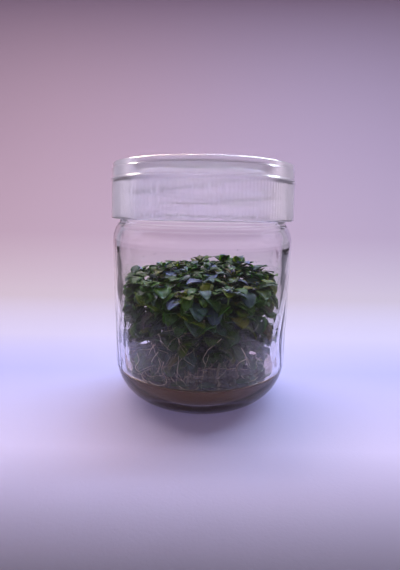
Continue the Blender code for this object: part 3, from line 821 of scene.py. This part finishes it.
# Side shoots: thin stalks that rise from the gel between the plantlets, and bow out a little on their way up
SIDE_SHOOTS = 110
dice = np.random.default_rng(21)
side_share = np.sqrt(dice.uniform(0.02, 1, SIDE_SHOOTS))
side_a = dice.uniform(0, math.tau, SIDE_SHOOTS)
round_a = np.stack([np.cos(side_a), np.sin(side_a)], -1)
side_foot = np.empty((SIDE_SHOOTS, 3))
side_foot[:, :2] = round_a * side_share[:, None] * 20 * MM
side_foot[:, 2] = 12.5 * MM
side_top = np.empty((SIDE_SHOOTS, 3))
side_top[:, :2] = round_a * side_share[:, None] * 32.5 * MM + dice.normal(0, 1.2 * MM, (SIDE_SHOOTS, 2))
climbed = (canopy(side_top[:, 0], side_top[:, 1]) - 18 * MM) * dice.uniform(0.4, 0.95, SIDE_SHOOTS)
side_top[:, 2] = 16 * MM + climbed
t = np.linspace(0, 1, 12)[None, :, None]
side_path = side_foot[:, None] * (1 - t) + side_top[:, None] * t
side_path[:, :, :2] += dice.normal(0, 1.1 * MM, (SIDE_SHOOTS, 1, 2)) * np.sin(math.pi * t)
far = np.hypot(side_path[:, :, 0], side_path[:, :, 1])
side_room = room(side_path[:, :, 2], np.arctan2(side_path[:, :, 1], side_path[:, :, 0]))
side_path[:, :, :2] *= np.minimum(1, side_room / far)[:, :, None]
side_thick = (0.34 - 0.14 * t[:, :, 0]) * MM * dice.uniform(0.7, 1.3, (SIDE_SHOOTS, 1))
points, faces = tube(side_path, side_thick, 5)
side_shoots = put_mesh("side_shoots", points, faces)
side_shoots.data.materials.append(stalk)
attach(side_shoots, "jar")

# Loose leaves
# Single leaves that have dropped and lie on the gel along the glass, flat or a little curled.
for number in range(1, 6):
    low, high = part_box(f"loose_leaf_{number}")
    middle = (np.array(low) + np.array(high)) / 2
    around = math.atan2(middle[1], middle[0]) + math.pi / 2
    span = math.hypot(high[0] - low[0], high[1] - low[1])
    start = middle - 0.47 * span * np.array([math.cos(around), math.sin(around), 0])
    start[2] = low[2] + 0.15 * MM
    leaf = leaf_piece(
        f"fallen_leaf_{number}",
        old_leaf,
        0.0,
        start[None],
        np.array([around]),
        np.array([0.12]),
        np.array([0.94 * span]),
        np.array([0.62 * span]),
        np.array([0.2]),
        np.array([0.12]),
        np.array([0.05]),
        np.array([0.45]),
    )
    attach(leaf, "jar")
    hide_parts(f"loose_leaf_{number}")

# Roots
# Fine pale threads that leave the stems below the leaves. They hang in the damp air, cling to the glass, and lie in
# curls on the gel, mostly along the front.
ROOTS = 110
ROOT_STEPS = 26


def wander(dice, start, heading, dive, length, curl):
    """Paths that turn slowly: the heading gets a smooth random turn at each step, and the dive pulls downwards."""
    n = len(start)
    turn = np.cumsum(dice.normal(0, curl, (n, ROOT_STEPS)), 1)
    angle = heading[:, None] + turn
    slope = dive[:, None] + np.cumsum(dice.normal(0, 0.12, (n, ROOT_STEPS)), 1)
    step = (length / ROOT_STEPS)[:, None]
    move = np.stack(
        [np.cos(angle) * np.cos(slope), np.sin(angle) * np.cos(slope), np.sin(slope)], -1
    )
    return start[:, None] + np.cumsum(move * step[:, :, None], 1)


def bent(corners, steps):
    """A smooth path through corners (Catmull-Rom): between two corners the tangent goes from (next - last) / 2 of the
    one to that of the other."""
    p = np.concatenate([corners[:1], corners, corners[-1:]])
    s = np.linspace(0, len(corners) - 1.0001, steps)
    i = s.astype(int)
    f = (s - i)[:, None]
    a, b, c, d = p[i], p[i + 1], p[i + 2], p[i + 3]
    return 0.5 * (2 * b + (c - a) * f + (2 * a - 5 * b + 4 * c - d) * f**2 + (3 * b - a - 3 * c + d) * f**3)


dice = np.random.default_rng(33)
root_a = dice.uniform(0, math.tau, ROOTS)
root_a[: ROOTS // 3] = np.radians(dice.uniform(200, 262, ROOTS // 3))
root_z = GEL_TOP * MM + dice.uniform(0.02, 1, ROOTS) ** 1.3 * 24 * MM
root_r = room(root_z, root_a) * dice.uniform(0.8, 1.0, ROOTS)
root_start = np.stack([root_r * np.cos(root_a), root_r * np.sin(root_a), root_z], -1)
root_path = wander(
    dice,
    root_start,
    root_a + math.pi / 2 * np.sign(dice.normal(0, 1, ROOTS)) * dice.uniform(0.3, 1, ROOTS),
    dice.normal(-0.6, 0.5, ROOTS),
    dice.uniform(7, 19, ROOTS) * MM,
    0.24,
)
root_far = np.hypot(root_path[:, :, 0], root_path[:, :, 1])
root_path[:, :, :2] *= np.minimum(1, 33.2 * MM / root_far)[:, :, None]
root_path[:, :, 2] = np.maximum(root_path[:, :, 2], (GEL_TOP - 0.4) * MM)

# The roots that stand out in front, each by its corners (x, y, z) in millimetres
FRONT_ROOTS = (
    ((7.6, -32.7, 35), (5, -33.2, 32.8), (2.8, -33.5, 30.9), (1.4, -33.6, 28.5), (1, -33.6, 27),
     (1.8, -33.6, 25.4)),
    ((15.1, -30, 30.7), (16.4, -29.3, 28.1), (17.7, -28.5, 25.4), (18.7, -27.9, 22.7)),
    ((17.1, -28.9, 25.9), (14.9, -30.1, 25.1), (13.3, -30.8, 23.8)),
    ((-12.4, -12.8, 14.8), (-12.2, -19.3, 14.8), (-10.5, -24.8, 14.8), (-8.1, -29.9, 14.8),
     (-5.5, -32.8, 14.8), (-3.1, -33.2, 14.8), (-1.2, -32.3, 14.8), (0.1, -28.6, 14.8), (-0.1, -23.9, 14.8)),
    ((-11.1, 0.6, 14.8), (-10.8, -4.4, 14.8), (-8.3, -8.6, 14.8), (-4.3, -9.5, 14.8), (0, -11.1, 14.8),
     (6.1, -11.9, 14.8), (11.4, -10.5, 14.8)),
    ((-18.8, -21.2, 14.8), (-17.4, -18.5, 14.8), (-14.8, -19.4, 14.8), (-13.3, -23.4, 14.8),
     (-12.9, -28.3, 14.8), (-15.4, -29.5, 14.8), (-18.4, -27.6, 14.8), (-20, -24.7, 14.8)),
    ((-15.4, -29.8, 25.6), (-14.8, -30.1, 23.4), (-15.4, -29.8, 21.2), (-16.7, -29.2, 19.3)),
    ((-13.4, -30.8, 24.8), (-14.2, -30.4, 21.9), (-13.8, -30.6, 19.5)),
    ((-17.1, -28.9, 31.3), (-18.5, -28, 28.6), (-19.4, -27.4, 26.3)),
    ((-15.6, -29.7, 28.4), (-17.5, -28.7, 25.6), (-18.3, -28.2, 23.7)),
    ((11.7, -11.7, 14.8), (15.8, -10.3, 14.8), (20, -11.3, 14.8), (24.7, -8.7, 14.8)),
    ((17.1, -19, 14.8), (18.6, -24, 14.8), (21, -23.9, 14.8), (23.2, -19.8, 14.8)),
    ((22.9, -24.6, 25.2), (21.2, -26.1, 23.7), (22.2, -25.2, 21.3)),
    ((-23, -14.4, 14.8), (-23.5, -19.8, 14.8), (-21.6, -24.8, 14.8), (-18.9, -26.6, 14.8)),
    ((-24.6, -22.9, 25.4), (-23.6, -23.9, 22.8), (-25.1, -22.3, 19.2), (-23.7, -23.8, 17.7)),
    ((-8.3, -17, 14.8), (-5.7, -21.1, 14.8), (-3.7, -17.9, 14.8), (-1.6, -20.9, 14.8), (1.7, -19.7, 14.8)),
)
front_path = np.stack([bent(np.array(corners, float) * MM, ROOT_STEPS) for corners in FRONT_ROOTS])
root_path = np.concatenate([root_path, front_path])
root_taper = np.linspace(1, 0.35, ROOT_STEPS)[None]
root_thick = dice.uniform(0.04, 0.075, (ROOTS, 1)) * MM * root_taper
front_thick = dice.uniform(0.08, 0.12, (len(FRONT_ROOTS), 1)) * MM * np.maximum(root_taper, 0.6)
points, faces = tube(root_path, np.concatenate([root_thick, front_thick]), 5)
roots = put_mesh("roots", points, faces)
pale_root, tree, shader, coordinates = new_material("pale_root", Roughness=0.5)
mottle = add_grain(tree, coordinates, 240.0, 0.2, 0.0001)
cream = ramp(
    tree,
    mottle,
    (0.35, (0.55, 0.42, 0.28)),
    (0.55, (0.84, 0.74, 0.60)),
    (0.7, (0.95, 0.92, 0.84)),
)
tree.links.new(cream, shader.inputs["Base Color"])
roots.data.materials.append(pale_root)
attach(roots, "jar")

# Screw lid
# Unpigmented polypropylene, moulded in one piece: a flat plate inside a thin raised rim, a skirt with fine grip ribs
# from the open end up to a bead, and a smooth shoulder. The plastic is milky, so the neck shows through it dimly.
RIBS = 156
lid_profile = np.concatenate(
    [
        line((0.0, 96.35), (34.6, 96.35), 14),
        arc((34.8, 94.6), (1.85, 1.75), 90, 0, 8),
        line((36.65, 94.4), (37.2, 78.3), 20),
        arc((37.6, 78.2), (0.4, 0.4), 180, 270, 4),
        arc((38.1, 78.2), (0.4, 0.4), 270, 360, 5),
        line((38.52, 78.7), (38.16, 92.5), 26),
        arc((38.1, 93.4), (0.42, 0.62), -70, 70, 8),
        line((38.10, 94.2), (38.0, 97.4), 8),
        arc((37.6, 97.6), (0.4, 0.35), -10, 60, 4),
        line((37.72, 98.1), (37.7, 99.2), 3),
        arc((37.1, 99.4), (0.6, 0.6), 0, 90, 6),
        arc((36.7, 99.6), (0.4, 0.4), 90, 180, 5),
        line((36.25, 99.3), (36.1, 98.9), 3),
        line((35.8, 98.8), (0.0, 98.8), 14),
        [(0.0, 98.8)],
    ]
)


def lid_surface(radius, height, angle):
    """Grip ribs: the skirt's outer face moves out and in as a rounded square wave of the angle, below the bead."""
    outside = (radius > 37.9) & (height > 78.6) & (height < 92.6)
    wave = np.tanh(2.2 * np.cos(angle * RIBS))
    return radius + np.where(outside, 0.05 * wave - 0.045, 0), height


lid = turn_profile("lid_shell", lid_profile * MM, RIBS * 4, in_mm(lid_surface))
milky, tree, shader, coordinates = new_material(
    "milky_plastic", Transmission_Weight=0.75, IOR=1.22, Subsurface_Weight=1.0
)
shader.inputs["Subsurface Radius"].default_value = (1.0, 1.0, 1.0)
shader.inputs["Subsurface Scale"].default_value = 2 * MM
haze = add_grain(tree, coordinates, 120.0, 0.08, 0.0004)
white = ramp(tree, haze, (0.3, (0.92, 0.90, 1.0)), (0.7, (0.95, 0.935, 1.0)))
tree.links.new(white, shader.inputs["Base Color"])
tree.links.new(joined(tree, "MapRange", haze, To_Min=0.08, To_Max=0.18), shader.inputs["Roughness"])
let_light_in(tree, shader, (0.93, 0.92, 0.96))
lid.data.materials.append(milky)
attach(lid, "lid")
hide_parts("screw_lid")

# Fog on the glass
# The air in the jar is damp, so the bare glass over the gel is faintly fogged, with fine droplets in it.
FOG_AROUND = 160
FOG_UP = 30
FOG_FOOT = 20.0
FOG_THICK = 0.05
FOG_GAP = 0.34


def inner_wall(height):
    """Radius of the jar's plain inner wall at a height, in millimetres: it widens evenly from heel to shoulder."""
    return 34.84 + (height - 19.5) * 0.0131


def film(height, radius, angle):
    """A closed thin sleeve: its outer face at the radius, its inner face just inside it, joined at both ends."""
    rows, columns = height.shape
    turned = np.repeat(angle[None], rows, 0)
    outer = np.stack([radius * np.cos(turned), radius * np.sin(turned), height], -1)
    thin = radius - FOG_THICK
    inner = np.stack([thin * np.cos(turned), thin * np.sin(turned), height], -1)[::-1]
    ring = np.concatenate([outer, inner, outer[:1]])
    points = ring[:-1].reshape(-1, 3) * MM
    faces = grid_faces(2 * rows + 1, columns, True) % (2 * rows * columns)
    return points, faces


fog_angle = np.arange(FOG_AROUND) * math.tau / FOG_AROUND
fog_u = np.linspace(0, 1, FOG_UP)[:, None]
fog_top = 47.0 + 3.2 * np.sin(fog_angle) ** 3 + 1.2 * np.sin(5 * fog_angle + 0.4)
fog_height = FOG_FOOT + (fog_top[None] - FOG_FOOT) * fog_u
points, faces = film(fog_height, inner_wall(fog_height) - FOG_GAP, fog_angle)
fog = put_mesh("fog_film", points, faces)
fog_share = np.concatenate([np.repeat(fog_u[:, 0], FOG_AROUND), np.repeat(fog_u[::-1, 0], FOG_AROUND)])
mark_points(fog, fog_share, "tone")
fog_dense = 0.2 + 0.8 * np.abs(np.cos(fog_angle)) ** 2
mark_points(fog, np.tile(fog_dense, 2 * FOG_UP), "thick")
mist, tree, shader, coordinates = new_material("mist", Roughness=0.55)
grainy = add_grain(tree, coordinates, 260.0, 0.1, 0.0001)
tinted = ramp(tree, grainy, (0.3, (0.56, 0.56, 0.74)), (0.7, (0.70, 0.68, 0.88)))
tree.links.new(tinted, shader.inputs["Base Color"])
fade = joined(tree, "MapRange", marks(tree, "tone"), From_Min=1.0, From_Max=0.7, To_Min=0.0, To_Max=1.0)
patchy = joined(tree, "MapRange", grainy, From_Min=0.3, From_Max=0.75, To_Min=0.03, To_Max=0.09)
dense = joined(tree, "Math", marks(tree, "thick"), patchy, operation="MULTIPLY")
tree.links.new(joined(tree, "Math", fade, dense, operation="MULTIPLY"), shader.inputs["Alpha"])
fog.data.materials.append(mist)
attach(fog, "jar")

DROPS = 260
DROP_RINGS = 3
DROP_SIDES = 8
DROP_GAP = 0.32


def drops(count, seed, low, high, size):
    """Lens-shaped drops on the inner wall: point (i, j) of a drop is ring i of a flattened half ball, round the
    wall's inward normal, closed by a flat back. The last two points are its tip and the middle of its back."""
    dice = np.random.default_rng(seed)
    a = dice.uniform(0, math.tau, count)
    z = dice.uniform(low, high, count)
    r = size * dice.uniform(0.3, 1.0, count) ** 2
    ring = np.linspace(0, math.pi / 2, DROP_RINGS + 1)[:-1]
    turn = np.arange(DROP_SIDES) * math.tau / DROP_SIDES
    cu, su = np.cos(ring)[None, :, None], np.sin(ring)[None, :, None]
    local_t = r[:, None, None] * cu * np.cos(turn)
    local_z = r[:, None, None] * cu * np.sin(turn) * 1.15
    local_n = np.broadcast_to(0.5 * r[:, None, None] * su, local_t.shape)
    wall = inner_wall(z) - DROP_GAP
    ca, sa = np.cos(a)[:, None, None], np.sin(a)[:, None, None]
    rad = wall[:, None, None] - local_n
    x = rad * ca - local_t * sa
    y = rad * sa + local_t * ca
    body = np.stack([x, y, z[:, None, None] + local_z], -1).reshape(count, -1, 3)
    tip_r = wall - 0.5 * r
    tip = np.stack([tip_r * np.cos(a), tip_r * np.sin(a), z], -1)[:, None]
    back = np.stack([wall * np.cos(a), wall * np.sin(a), z], -1)[:, None]
    points = np.concatenate([body, tip, back], 1) * MM
    one = grid_faces(DROP_RINGS, DROP_SIDES, True).tolist()
    top_ring = (DROP_RINGS - 1) * DROP_SIDES
    tip_id = DROP_RINGS * DROP_SIDES
    for j in range(DROP_SIDES):
        n = (j + 1) % DROP_SIDES
        one.append([top_ring + j, top_ring + n, tip_id])
        one.append([n, j, tip_id + 1])
    faces = [[i + k * (tip_id + 2) for i in f] for k in range(count) for f in one]
    return points.reshape(-1, 3), faces


points, faces = drops(DROPS, 5, 24.0, 68.0, 0.42)
droplets = put_mesh("droplets", points, faces)
water, tree, shader, coordinates = new_material(
    "water", Roughness=0.02, Transmission_Weight=1.0, IOR=1.33
)
ripple = add_grain(tree, coordinates, 300.0, 0.05, 0.0001)
wet = ramp(tree, ripple, (0.3, (0.94, 0.94, 0.98)), (0.7, (1.0, 0.99, 1.0)))
tree.links.new(wet, shader.inputs["Base Color"])
let_light_in(tree, shader, (0.95, 0.95, 0.97))
droplets.data.materials.append(water)
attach(droplets, "jar")
